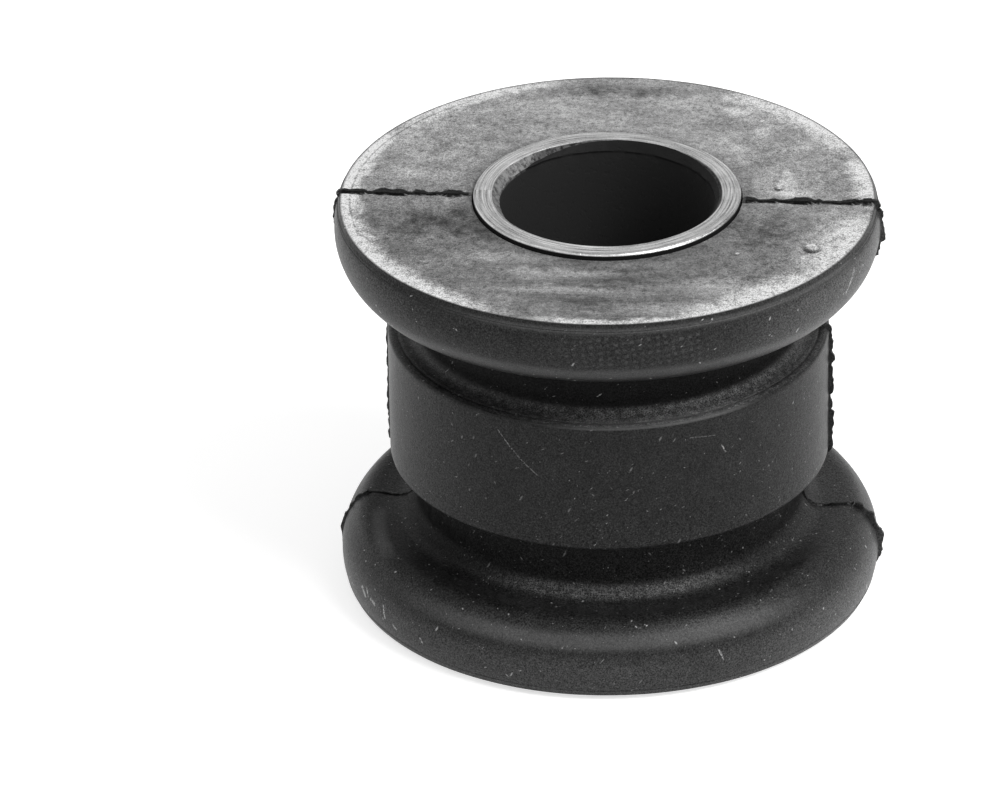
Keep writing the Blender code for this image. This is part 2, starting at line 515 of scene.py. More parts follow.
def level(colour):
    """A grey colour property as one number."""
    return colour[1]


# The steel sleeve

SLEEVE_STEPS = 256
NICKS_PER_METRE = 900.0
NICK_MARGIN = 0.3 * MM
NICK_END = 2.0 * MM

# Painted shade: a dark sheet starts a little way down the bore, inside an oval: x of its middle and half
# sizes
SHADE_OVAL_MM = (0.37, 11.33, 12.04)
SHADE_RAGGED = 0.012
SHADE_DEPTH_MM = (1.0, 1.25)
# Painted shade on the sleeve's outer wall too: depths below the end, and radii where it comes in
WALL_DEPTH_MM = (0.12, 0.22)
WALL_MM = (13.6, 13.8)
MOUTH_SOFT_MM = (-0.10, 0.04)


def turned_steel(sizes):
    w = Wiring("turned_steel")
    place = w.place_mm()
    x, y, z = w.separate(place)
    across = w.vector("LENGTH", w.combine(x, y, 0.0))
    turn = w.math("ARCTAN2", y, x)
    half = sizes.length * TO_MM / 2
    from_middle = w.off(z, half)

    lines = w.noise(w.combine(across, w.product(turn, 0.25), 0.0), 5.5, 3.0, 0.75)
    cloud = w.noise(place, 0.6, 3.0)
    grain = w.noise(place, 6.0, 2.0)
    bright = w.sway(lines, 1.7, level(sizes.steel))
    bright = w.sway(cloud, 0.25, bright)
    bright = w.sway(grain, 0.45, bright)

    mottle = w.noise(place, 1.7, 4.0, 0.7)
    # Painted shade: the mouth chamfer is dark, mottled metal except towards the left
    mottled_chamfer_shade = w.zone((mottle, 0.34, 0.60, 0.25, 1.0), (x, -7.0, -10.5, 0.055, 0.26))
    mouth = (sizes.bore / 2 + sizes.mouth_width) * TO_MM
    on_face = w.ease(across, *(mouth + soft for soft in MOUTH_SOFT_MM))
    bare = w.blend(on_face, mottled_chamfer_shade, bright)

    # Painted shade: a dark, dull sheet down the bore past the mouth, and on the sleeve's outer wall below its
    # end
    shade_middle, half_width, half_depth = SHADE_OVAL_MM
    shade_x = w.math("DIVIDE", w.minus(x, shade_middle), half_width)
    shade_reach = w.vector("LENGTH", w.combine(shade_x, w.math("DIVIDE", y, half_depth), 0.0))
    oval = w.math("LESS_THAN", shade_reach, w.sway(mottle, SHADE_RAGGED, 1.0))
    deep = w.ease(from_middle, *(half - depth for depth in SHADE_DEPTH_MM))
    below_face = w.ease(from_middle, *(half - depth for depth in WALL_DEPTH_MM))
    painted_shade = w.most(oval, deep, w.product(below_face, w.ease(across, *WALL_MM)))

    dark = w.blend(deep, level(sizes.painted_shade) * 0.6, level(sizes.painted_shade) * 2.2)
    w.finish("Base Color", w.blend(painted_shade, bare, dark))
    w.finish("Metallic", w.math("SUBTRACT", 1.0, painted_shade, clamp=True))
    rough = w.sway(grain, 0.3, w.blend(on_face, 0.60, 0.38))
    w.finish("Roughness", w.blend(painted_shade, rough, 0.6))
    height = w.minus(w.product(lines, 0.4), w.ease(mottle, 0.48, 0.30))
    w.finish("Normal", w.bump(height, 0.03 * MM, 0.8))
    w.finish("Specular IOR Level", w.blend(painted_shade, 0.5, 0.12))
    return w.material


class BUSHING_OT_turn_sleeve(Step, Operator):
    """Turn the steel sleeve with its ridged end faces and nicked mouths"""

    bl_idname = "bushing.turn_sleeve"
    bl_label = "Turn the sleeve"

    def execute(self, context):
        sizes = context.scene.bushing_sleeve
        sleeve = draw_section("turned_sleeve", sleeve_section(sizes))
        spin_section([(2 * math.pi, SLEEVE_STEPS)])
        mouth = sizes.bore / 2 + sizes.mouth_width
        for vertex in sleeve.data.vertices:
            out = math.hypot(vertex.co.x, vertex.co.y)
            from_end = min(vertex.co.z, sizes.length - vertex.co.z)
            inside = falling(out, mouth - NICK_MARGIN, mouth) * falling(from_end, sizes.mouth_depth, NICK_END)
            push = sizes.nick * inside * ripple(vertex.co, NICKS_PER_METRE, 1.0)
            vertex.co.x += vertex.co.x / out * push
            vertex.co.y += vertex.co.y / out * push
        smooth(sleeve)
        dress(sleeve, turned_steel(sizes), "inner_sleeve")
        return {"FINISHED"}


# The rubber spool

SEAM_HALF_WIDTH = 0.9 * MM
SEAM_ANGLE = math.radians(3.0)
SEAM_STEPS = 10
ROUND_STEPS = 108
SWELL_HEIGHT = 0.035 * MM
SWELLS = ((1.0, 160.0), (0.35, 640.0))
SWELL_CORE = 1.5 * MM

# Lumps of torn flash on the upper face, in millimetres: x, half length, half width, height
FACE_LUMPS = (
    (-26.2, 1.1, 0.36, 0.32),
    (-22.6, 2.2, 0.52, 0.38),
    (-19.6, 1.0, 0.4, 0.34),
    (-16.2, 1.2, 0.5, 0.38),
    (15.0, 1.0, 0.46, 0.38),
    (17.2, 0.7, 0.34, 0.32),
    (20.3, 1.5, 0.42, 0.38),
    (23.6, 0.7, 0.32, 0.32),
    (25.2, 0.8, 0.34, 0.34),
    (27.0, 0.9, 0.42, 0.38),
)

# Blisters on the upper face, in millimetres: x, y, radius, height
BLISTERS = (
    (21.84, -10.3, 0.85, 0.3),
    (17.8, 3.03, 0.45, 0.2),
    (14.18, -11.92, 0.22, 0.12),
)

# Scuffs on the sides: start, end and width in mm, and strength
SCUFFS = (
    ((-10.05, -20.93, 27.98), (-8.79, -21.52, 26.34), 0.09, 0.17),
    ((-8.79, -21.52, 26.34), (-7.32, -22.04, 24.78), 0.1, 0.16),
    ((-7.32, -22.04, 24.78), (-5.96, -22.45, 23.62), 0.09, 0.12),
    ((9.79, -21.06, 27.7), (12.3, -19.7, 27.3), 0.08, 0.1),
    ((13.0, -19.27, 25.9), (13.39, -18.98, 25.0), 0.11, 0.34),
    ((26.25, -11.2, 42.5), (25.85, -12.0, 41.5), 0.3, 0.16),
    ((25.85, -12.0, 41.5), (25.5, -12.7, 40.6), 0.22, 0.22),
    ((-25.41, -13.02, 4.2), (-25.0, -13.8, 3.6), 0.3, 0.42),
    ((-24.9, -13.9, 4.6), (-24.6, -14.4, 3.9), 0.16, 0.4),
    ((-24.3, -15.0, 3.9), (-23.9, -15.7, 3.7), 0.26, 0.4),
    ((-22.85, -17.1, 4.4), (-22.6, -17.4, 3.1), 0.17, 0.5),
    ((-21.65, -18.62, 2.96), (-21.3, -19.0, 2.6), 0.19, 0.4),
    ((-18.54, -21.74, 3.2), (-18.3, -21.95, 2.8), 0.19, 0.38),
    ((27.5, -7.0, 2.9), (27.6, -6.7, 2.0), 0.18, 0.5),
    ((13.0, -25.3, 4.9), (13.4, -25.1, 3.7), 0.14, 0.42),
    ((12.2, -25.8, 5.4), (12.0, -25.9, 4.9), 0.12, 0.36),
)


def straighten_seam(spool):
    """Draws the fine columns at each parting line into strips of even width, and spreads the rest."""
    for vertex in spool.data.vertices:
        out = math.hypot(vertex.co.x, vertex.co.y)
        turn = math.atan2(vertex.co.y, abs(vertex.co.x))
        strip = math.asin(SEAM_HALF_WIDTH / out)
        if abs(turn) <= SEAM_ANGLE + 1e-5:
            y = SEAM_HALF_WIDTH * turn / SEAM_ANGLE
            new_turn = math.asin(max(-1.0, min(1.0, y / out)))
        else:
            spread = (math.pi / 2 - strip) / (math.pi / 2 - SEAM_ANGLE)
            new_turn = math.copysign(strip + (abs(turn) - SEAM_ANGLE) * spread, turn)
        side = math.copysign(1.0, vertex.co.x)
        vertex.co.x = side * out * math.cos(new_turn)
        vertex.co.y = out * math.sin(new_turn)


def swell(spool):
    """Gives the moulded skin a slight unevenness, and none at the core."""
    core = SLEEVE_HIGH.x + SWELL_CORE
    moves = []
    for vertex in spool.data.vertices:
        if math.hypot(vertex.co.x, vertex.co.y) < core:
            continue
        height = rippled(vertex.co, SWELLS, 3.0, 0.0)
        moves.append((vertex.index, vertex.normal * (-SWELL_HEIGHT * (0.9 + 0.6 * height))))
    for index, move in moves:
        spool.data.vertices[index].co += move


# Bright arcs at the edge of the end faces: middle, half spread, inner radius in mm, strength
RIM_ARCS = (
    (214.0, 42.0, 25.0, 0.58),
    (168.0, 22.0, 25.4, 0.6),
    (125.0, 26.0, 25.2, 0.34),
    (45.0, 24.0, 24.6, 0.44),
    (10.0, 14.0, 25.0, 0.46),
    (-20.0, 17.0, 21.6, 0.46),
    (-50.0, 22.0, 24.0, 0.5),
    (-84.0, 22.0, 26.4, 0.4),
)

# The fine ring worn at the left edge of the end faces: radius and direction
RIM_RING_MM = 26.85
RIM_RING_AIM = (-0.95, 0.31, 0.0)

# Uneven patches on the upper face, in millimetres: x, y, half sizes along x and y, change of tone
SMUDGES = (
    (-21.0, 4.6, 6.0, 1.5, 0.09),
    (-18.8, -6.2, 8.0, 5.6, -0.075),
    (-17.0, -4.6, 5.0, 3.6, -0.03),
    (-13.5, -9.5, 4.0, 3.4, -0.04),
    (-9.0, -13.8, 6.0, 1.3, 0.08),
    (-4.0, -17.0, 7.5, 1.1, 0.13),
    (-3.0, -20.6, 8.0, 0.9, 0.12),
    (1.0, -23.0, 7.0, 2.3, -0.06),
    (2.5, -17.6, 7.0, 2.6, -0.05),
    (10.5, -15.5, 5.0, 3.0, -0.04),
    (14.5, -19.5, 6.5, 2.4, 0.16),
    (8.0, -24.2, 6.0, 1.3, 0.12),
    (16.5, -6.5, 3.6, 4.6, -0.1),
    (18.7, 4.0, 1.3, 3.4, 0.17),
    (19.8, 1.8, 2.2, 1.1, 0.14),
    (14.5, 11.5, 4.0, 4.0, -0.05),
    (12.4, 20.4, 1.8, 1.3, 0.2),
    (15.4, 15.4, 1.4, 2.2, 0.15),
    (10.5, 11.6, 4.0, 1.4, 0.1),
    (0.5, 24.8, 8.0, 1.8, -0.13),
    (6.5, 23.0, 4.5, 2.8, 0.05),
    (-4.5, 19.0, 5.5, 4.0, 0.04),
    (-13.0, 17.0, 5.0, 1.2, -0.06),
    (-17.0, 12.0, 5.0, 3.6, -0.03),
    # The last three are painted highlights on the tops of the blisters
    (21.6, -10.0, 0.62, 0.45, 0.4),
    (17.7, 3.25, 0.35, 0.3, 0.3),
    (14.18, -11.8, 0.24, 0.3, 0.5),
)


FACE_EDGE_MM = 28.4
ARC_WANDER_MM = 0.9
ARC_FULL_SHARE = 0.35
FINE_PATCH_MM = 1.0
DARKEST_FACE = 0.03
DARKEST_SIDE = 0.002

# Painted highlights round the sides, where the key would glint, in millimetres: heights from mid length,
# radii, x where each comes in and its share before, x where it goes out and its share after, strength, and
# whether it is broken up
HIGHLIGHTS = (
    ((7.15, 7.3, 7.6, 8.4), (23.2, 22.9), (-18.0, 4.0, 0.35), (12.0, 20.0, 0.6), 0.15, True),
    ((12.6, 13.4, 13.8, 14.3), (23.5, 21.5), (-16.0, -4.0, 0.0), (8.0, 16.0, 0.2), 0.11, True),
    ((14.6, 15.6, 16.0, 17.0), (26.0, 27.2), (-25.0, -10.0, 0.0), (15.0, 24.0, 0.1), 0.072, False),
)

# Fine dark lines under the rim: drop below the end face and half width in mm, and strength
RIM_LINES = ((0.42, 0.14, 0.5), (0.95, 0.15, 1.0))
# Painted highlights under the rim, along the barrel's edge and along the lower crest: places in mm, lean and
# strengths
RIM_LIGHT_DROP_MM = 0.72
RIM_LIGHT = 0.062
BARREL_EDGE_MM = 7.12
BARREL_EDGE_LIGHT = 0.055
CREST_LIGHT_MM = 23.9
CREST_LIGHT_LEAN = 0.16
CREST_LIGHT = 0.062

# Specks and short ticks on the sides: cells per mm, and how much each brightens the rubber
DOTS_PER_MM, DOT_LIGHT = 0.55, 0.26
SMALL_DOTS_PER_MM, SMALL_DOT_LIGHT = 1.25, 0.22
TICKS_PER_MM, TICK_LIGHT = 0.75, 0.30

# Lean, length and rarity of the ticks
TICKS = ((0.5, 0.30, 0.62), (-0.9, 0.36, 0.68), (1.9, 0.28, 0.72))

# The woven imprint on the upper flange: waves per radian and per millimetre of height, and strength
IMPRINT_ROUND = 210.0
IMPRINT_UP = 8.2
IMPRINT_LIGHT = 0.032


def face_tone(w, sizes, skin):
    """The brightness of the dusty, rubbed end faces: clouds, wipes, bright rim arcs, patches and grain, with
    painted highlights on the blisters, painted light towards the back and painted shade round the sleeve.
    """
    x, y, out = skin.x, skin.y, skin.out
    cloud = w.noise(skin.place, 0.22, 4.0, 0.6, 0.4)
    patchy = w.noise(skin.place, 0.85, 3.0, 0.65)
    sweep = w.noise(w.combine(w.product(skin.turn, 4.0), out, 0.0), 0.8, 4.0, 0.65)
    wipe = w.noise(w.combine(w.product(x, 0.16), y, 0.0), 0.9, 4.0, 0.65)
    wiped_front = w.ease(y, -10.0, -18.0, 0.0, 1.3)
    face = w.swing(level(sizes.dust), (cloud, 1.3), (sweep, 0.7), (patchy, 1.3), (wipe, wiped_front))
    # Painted light and shade: the face lighter towards the back, and painted shade darkening it round the
    # sleeve
    face = w.product(face, w.ease(y, -16.0, 10.0, 0.68, 1.16), w.ease(out, 14.3, 17.0, 0.72, 1.0))

    warp = w.sway(patchy, 1.6, ARC_WANDER_MM)
    across = w.vector("SCALE", w.combine(x, y, 0.0), scale=w.math("DIVIDE", 1.0, out))
    mixed = w.plus(w.product(patchy, 0.4), skin.grain, 0.6)
    broken = w.ease(mixed, 0.32, 0.66, 0.45, 1.25)
    for middle, spread, inner, strength in RIM_ARCS:
        aim = (math.cos(math.radians(middle)), math.sin(math.radians(middle)), 0.0)
        facing = w.vector("DOT_PRODUCT", across, aim)
        edge, full = (math.cos(math.radians(spread * part)) for part in (1.0, ARC_FULL_SHARE))
        reach = w.ease(w.math("ADD", out, warp), inner + ARC_WANDER_MM, FACE_EDGE_MM)
        face = w.plus(face, w.product(w.ease(facing, edge, full), reach, broken), strength)

    drift = w.minus(warp, ARC_WANDER_MM)
    shifted = w.vector("ADD", skin.place, w.combine(drift, w.product(drift, -1.0), 0.0))
    top_mm = (SLEEVE_HIGH.z - sizes.proud) * TO_MM
    for at_x, at_y, half_x, half_y, change in SMUDGES:
        spot = skin.place if half_x < FINE_PATCH_MM else shifted
        local = w.vector("SUBTRACT", spot, (at_x, at_y, top_mm))
        local = w.vector("MULTIPLY", local, (1.0 / half_x, 1.0 / half_y, 0.4))
        face = w.plus(face, w.ease(w.vector("LENGTH", local), 1.25, 0.25), change)

    facing = w.vector("DOT_PRODUCT", across, RIM_RING_AIM)
    ring = w.zone((w.off(out, RIM_RING_MM), 0.16, 0.05), (facing, 0.72, 0.90, 0.0, 0.45))
    face = w.product(face, w.minus(1.0, ring))

    pits = w.noise(skin.place, 2.1, 3.0, 0.7)
    face = w.product(face, w.ease(pits, 0.30, 0.44, 0.62, 1.0))
    coarse = w.ease(w.math("ABSOLUTE", x), 6.0, 18.0, 1.7, 3.2)
    face = w.swing(face, (pits, 1.3), (skin.grain, coarse), (skin.speckle, 1.6))
    return w.math("MINIMUM", w.most(face, DARKEST_FACE), level(sizes.chalk))


def moulded_tone(w, sizes, skin):
    """The brightness of the moulded sides before their marks: painted shade in the grooves and at the lower
    left, painted sheen towards the edges, a painted floor reflection low down, grain and mould lines.
    """
    x, z, from_middle = skin.x, skin.z, skin.from_middle
    side = w.swing(level(sizes.rubber), (skin.mottle, 1.6))
    # Painted shade: the grooves darker, the upper one under the flange most
    groove_shade = w.ease(z, 20.0, 24.0, 0.9, 0.45)
    side = w.product(side, w.blend(skin.in_groove, 1.0, groove_shade), w.blend(skin.flange, 1.0, 1.35))
    # Painted shade: half as bright at the lower left of the lower groove and slope, away from the key
    side = w.product(side, w.blend(skin.clean, 1.0, 0.5))

    # Painted sheen: the flanges lighter towards their left and right edges, most at the right where the key
    # falls, less on the lower flange, away from the crests and close under the upper end face
    off_crest = w.most(w.ease(z, 28.0, 30.0), w.ease(z, 7.0, 4.4))
    at_sides = w.math("ADD", w.ease(x, -16.0, -27.0, 0.0, 0.028), w.ease(x, 12.0, 27.0, 0.0, 0.056))
    by_height = w.zone((z, 12.0, 26.0, 0.62, 1.0), (z, 43.9, 42.3, 0.25, 1.0))
    side = w.math("ADD", side, w.product(skin.flange, off_crest, at_sides, by_height))
    # Painted sheen at the barrel's left edge, and a painted reflection of the floor on the lowest part of the
    # lower flange
    barrel_edge_sheen = w.zone((from_middle, 7.4, 6.8), (x, -21.6, -23.1, 0.0, 0.045))
    lower_bead_floor_reflection = w.zone((z, 6.2, 3.6), (x, -4.0, 22.0, 0.030, 0.018))
    side = w.math("ADD", side, w.math("ADD", barrel_edge_sheen, lower_bead_floor_reflection))

    lines = []
    for drop, half_width, strength in RIM_LINES:
        line = w.ease(w.off(from_middle, skin.face_middle - drop), half_width, half_width - 0.10)
        lines.append(w.product(line, strength))
    drawn = w.product(w.most(*lines), w.ease(skin.mottle, 0.36, 0.46), w.ease(z, 20.0, 30.0))
    side = w.product(side, w.blend(drawn, 1.0, 0.25))
    grain_amount = w.blend(skin.rough_crest, w.blend(skin.flange, 3.4, 4.0), 6.5)
    return w.swing(side, (skin.fine, grain_amount), (skin.speckle, 3.0))


def specked(w, skin, side):
    """The sides with specks of two sizes and short ticks."""
    shift = w.vector("SCALE", w.combine(skin.mottle, skin.cluster, skin.mottle), scale=3.0)
    scattered = w.vector("ADD", skin.place, shift)
    upper = w.ease(skin.z, 31.0, 34.0)
    gap, dice = w.cells(scattered, DOTS_PER_MM)
    dots = w.product(w.ease(gap, 0.075, 0.035), w.ease(dice, 0.45, 1.0), w.blend(upper, 1.0, 0.4))
    gap, dice = w.cells(scattered, SMALL_DOTS_PER_MM)
    rarity = w.plus(w.ease(skin.cluster, 0.40, 0.60, 0.62, 0.15), skin.rough_crest, -0.34)
    chosen = w.ease(w.minus(dice, rarity), 0.0, 0.30)
    small_dots = w.product(w.ease(gap, 0.11, 0.04), chosen, w.blend(upper, 1.0, 0.5))
    side = w.plus(side, dots, DOT_LIGHT)
    side = w.plus(side, small_dots, SMALL_DOT_LIGHT)

    wobble = w.vector("SCALE", w.combine(skin.fine, skin.mottle, skin.fine), scale=0.25)
    for lean, stretch, rarity in TICKS:
        along = w.plus(skin.z, skin.x, lean)
        bent = w.combine(w.plus(skin.x, skin.z, -lean), skin.y, w.product(along, stretch))
        gap, dice = w.cells(w.vector("ADD", bent, wobble), TICKS_PER_MM)
        tick = w.product(w.ease(gap, 0.105, 0.05), w.math("GREATER_THAN", dice, rarity))
        side = w.plus(side, w.product(tick, w.blend(skin.flange, 0.35, 1.0)), TICK_LIGHT)
    return side


def highlighted(w, skin, side):
    """The sides with their painted highlights, the woven imprint and the scuffs."""
    x, y, z, out, from_middle = skin.x, skin.y, skin.z, skin.out, skin.from_middle
    chips = w.noise(skin.place, 7.0, 3.0, 0.75)
    clumps = w.ease(w.noise(skin.place, 1.3, 3.0, 0.7), 0.36, 0.62, 0.45, 1.25)
    broken = w.product(w.ease(chips, 0.38, 0.64), clumps)
    soft = w.ease(chips, 0.28, 0.72, 0.4, 1.0)
    for heights, radii, coming, going, strength, is_broken in HIGHLIGHTS:
        light = w.product(w.window(from_middle, *heights), w.ease(out, *radii))
        light = w.product(light, w.ease(x, *coming, 1.0), w.ease(x, *going[:2], 1.0, going[2]))
        side = w.plus(side, w.product(light, broken if is_broken else soft), strength)

    # Painted highlight along the top of the lower crest, at the left
    crest = w.ease(w.off(w.plus(out, y, CREST_LIGHT_LEAN), CREST_LIGHT_MM), 1.1, 0.2)
    crest = w.product(crest, w.window(z, 7.2, 8.0, 10.0, 12.0), w.ease(x, -19.5, -21.5))
    crest = w.product(crest, w.window(y, -15.0, -11.0, -5.0, -2.5), w.ease(chips, 0.3, 0.7, 0.5, 1.0))
    side = w.plus(side, crest, CREST_LIGHT)

    in_front = w.zone((x, -20.0, -8.0), (y, -8.0, -14.0))
    # Painted highlight just under the upper rim, at the front
    rim = w.ease(w.off(from_middle, skin.face_middle - RIM_LIGHT_DROP_MM), 0.50, 0.10)
    rim = w.product(rim, in_front, w.ease(z, 30.0, 34.0), w.ease(chips, 0.3, 0.7, 0.4, 1.0))
    side = w.plus(side, rim, RIM_LIGHT)
    # Painted highlight along the barrel's upper edge
    edge = w.ease(w.off(from_middle, BARREL_EDGE_MM), 0.24, 0.08)
    edge = w.product(edge, w.window(x, -10.0, 2.0, 12.0, 18.0), w.ease(z, 24.0, 26.0))
    side = w.plus(side, edge, BARREL_EDGE_LIGHT)

    turn = w.plus(skin.turn, skin.mottle, 0.03)
    round_wave = w.math("SINE", w.plus(w.product(turn, IMPRINT_ROUND), z, 0.9))
    up_wave = w.math("SINE", w.plus(w.product(z, IMPRINT_UP), turn, -30.0))
    weave = w.product(w.ease(round_wave, -0.6, 0.9), w.ease(up_wave, -0.6, 0.9), clumps)
    patch = w.product(w.window(x, -6.0, 1.0, 10.5, 13.0), w.window(z, 38.8, 40.2, 42.8, 43.7), in_front)
    weave = w.product(weave, patch, w.ease(chips, 0.35, 0.6, 0.3, 1.0))
    side = w.plus(side, weave, IMPRINT_LIGHT)

    scratched = w.ease(skin.fine, 0.40, 0.55)
    for start, end, width, strength in SCUFFS:
        side = w.plus(side, w.product(w.stroke(skin.place, start, end, width), scratched), strength)
    return w.most(side, DARKEST_SIDE)


class Skin:
    """The places, zones and noises that the tones of the rubber share, in millimetres."""

    def __init__(self, w, sizes):
        self.place = w.place_mm()
        self.x, self.y, self.z = w.separate(self.place)
        self.out = w.vector("LENGTH", w.combine(self.x, self.y, 0.0))
        self.turn = w.math("ARCTAN2", self.y, self.x)
        half = SLEEVE_HIGH.z * TO_MM / 2
        self.from_middle = w.off(self.z, half)
        self.face_middle = half - sizes.proud * TO_MM
        self.mottle = w.noise(self.place, 0.5, 4.0, 0.6)
        self.cluster = w.noise(self.place, 0.28, 2.0)
        self.grain = w.noise(self.place, 6.0, 3.0, 0.7)
        self.fine = w.noise(self.place, 5.4, 3.0, 0.75)
        self.speckle = w.noise(self.place, 9.0, 2.0, 0.6)
        self.flange = w.ease(self.from_middle, 13.6, 15.0)
        groove = w.window(self.from_middle, 7.6, 8.4, 13.6, 14.6)
        self.in_groove = w.product(groove, w.ease(self.out, 22.6, 20.8))
        # This mask carries painted shade at the lower left, round the lower groove, and also dulls the gloss
        # there
        self.clean = w.product(w.ease(self.x, -4.0, -18.0), w.window(self.z, 7.4, 8.8, 14.0, 15.0))
        self.rough_crest = w.window(self.z, 5.5, 8.0, 16.0, 20.0)


def dusty_rubber_painted_light(sizes):
    w = Wiring("dusty_rubber_painted_light")
    skin = Skin(w, sizes)
    face = face_tone(w, sizes, skin)
    side = moulded_tone(w, sizes, skin)
    side = specked(w, skin, side)
    side = highlighted(w, skin, side)

    edge = (sizes.flange / 2 - sizes.rim_overhang) * TO_MM
    on_face = w.ease(skin.from_middle, skin.face_middle - 0.16, skin.face_middle - 0.05)
    on_face = w.product(on_face, w.ease(skin.out, edge, edge - 0.35))
    # The flash attribute marks the dark, fresh flash and also carries the painted shade on the front of the
    # blisters' rims
    flash = w.attribute("flash")
    dusty = w.product(on_face, w.math("SUBTRACT", 1.0, flash, clamp=True))
    face_flash_and_shade = w.product(on_face, flash)
    side = w.product(side, w.blend(flash, 1.0, 0.45), w.blend(face_flash_and_shade, 1.0, 0.4))
    w.finish("Base Color", w.blend(dusty, side, face))

    rough = w.swing(0.40, (skin.mottle, 0.4))
    w.finish("Roughness", w.blend(dusty, rough, 0.85))
    dull = w.most(skin.in_groove, skin.clean, face_flash_and_shade)
    gloss = w.swing(w.blend(dull, 0.15, 0.05), (skin.fine, 3.2), (skin.speckle, 1.6))
    w.finish("Specular IOR Level", w.most(gloss, 0.0))
    bumps = w.plus(w.noise(skin.place, 1.6, 3.0, 0.6), skin.fine, 0.6)
    w.finish("Normal", w.bump(bumps, 0.04 * MM, 0.7))
    return w.material


class BUSHING_OT_mould_rubber(Step, Operator):
    """Mould the rubber spool with its beaded flanges, grooves and barrel"""

    bl_idname = "bushing.mould_rubber"
    bl_label = "Mould the rubber"

    def execute(self, context):
        sizes = context.scene.bushing_rubber
        spool = draw_section("rubber_spool", spool_section(sizes))
        seam = (SEAM_ANGLE, SEAM_STEPS)
        half_round = (math.pi - 2 * SEAM_ANGLE, ROUND_STEPS)
        spin_section([seam, half_round, seam, seam, half_round, seam])
        straighten_seam(spool)
        swell(spool)
        smooth(spool)
        dress(spool, dusty_rubber_painted_light(sizes), "rubber_body")
        return {"FINISHED"}


# The flash stays clear of the crevice and of the sleeve's ends, and is soft at its sides
FLASH_MARGIN = 0.2 * MM
FLASH_SOFT = 0.10 * MM
LEVEL_NORMAL = 0.98
FACE_FLASH_WIDTH = 1.3

# How it strays to either side, and how its edge is torn: strength and waves per metre
STRAYS = ((0.12 * MM, 500.0), (0.06 * MM, 1900.0))
TEARS = ((0.6, 1100.0), (0.45, 2300.0))

# It is all but gone at the foot of the right side, and whole again further up
WORN_FOOT = (1.6 * MM, 3.0 * MM)
WORN_FOOT_LOSS = 0.85


def flash_height(out, z, flash, rubber):
    """The full height of the flash at a place on the spool's side."""
    from_end = min(z, SLEEVE_HIGH.z - z)
    from_middle = abs(z - SLEEVE_HIGH.z / 2)
    if out > rubber.barrel / 2 + rubber.crest:
        return flash.rim_height
    if from_middle < rubber.barrel_length / 2:
        return flash.barrel_height
    if from_end < rubber.proud + rubber.line_depth:
        return flash.face_height
    return flash.groove_height


class BUSHING_OT_raise_flash(Step, Operator):
    """Raise the torn flash along the two parting lines of the rubber"""

    bl_idname = "bushing.raise_flash"
    bl_label = "Raise the flash"

    def execute(self, context):
        flash = context.scene.bushing_flash
        rubber = context.scene.bushing_rubber
        spool = bpy.data.objects["rubber_spool"]
        mesh = spool.data
        marks = mesh.attributes.new("flash", "FLOAT", "POINT")
        core = SLEEVE_HIGH.x + rubber.crevice + FLASH_MARGIN
        moves = []
        for vertex in mesh.vertices:
            x, y, z = vertex.co
            out = math.hypot(x, y)
            if abs(y) > SEAM_HALF_WIDTH or out < core:
                continue
            spot = Vector((math.copysign(0.03, x), out, z))
            stray = rippled(spot, STRAYS, flash.seed + 2.0, 0.0)
            torn = min(max(rippled(spot, TEARS, flash.seed, 0.5), 0.0), 1.0)
            height = flash_height(out, z, flash, rubber) * (flash.least + (1.0 - flash.least) * torn)
            height *= flash.left if x < 0 else 1.0 - WORN_FOOT_LOSS * falling(z, *WORN_FOOT)
            half_width = flash.half_width * (0.8 + 0.6 * torn)
            near_end = min(z, SLEEVE_HIGH.z - z) < rubber.proud + FLASH_MARGIN
            if near_end and abs(vertex.normal.z) > LEVEL_NORMAL:
                half_width *= FACE_FLASH_WIDTH
                for lump_x, half_length, lump_width, lump_height in FACE_LUMPS:
                    near = falling(abs(x - lump_x * MM), half_length * MM * 0.6, half_length * MM)
                    half_width = max(half_width, near * lump_width * MM * (0.7 + 0.5 * torn))
                    height = max(height, near * lump_height * MM * (0.5 + 0.5 * torn))
            aside = abs(y - stray)
            edge = half_width + FLASH_SOFT
            moves.append((vertex.index, vertex.normal * (height * falling(aside, half_width, edge))))
            marks.data[vertex.index].value = falling(aside, edge, edge + FLASH_SOFT)
        for index, move in moves:
            place = mesh.vertices[index].co + move
            place.x = max(-RUBBER_HIGH.x, min(RUBBER_HIGH.x, place.x))
            place.z = max(FLASH_MARGIN, min(SLEEVE_HIGH.z - FLASH_MARGIN, place.z))
            mesh.vertices[index].co = place
        mesh.update()
        return {"FINISHED"}


BLISTER_CUTS = 4
BLISTER_REACH = 1.5
BLISTER_LEVEL = 0.2 * MM
DIP_END = 1.35
DIP_DEPTH = 0.05 * MM
RING_SHADE = 0.85


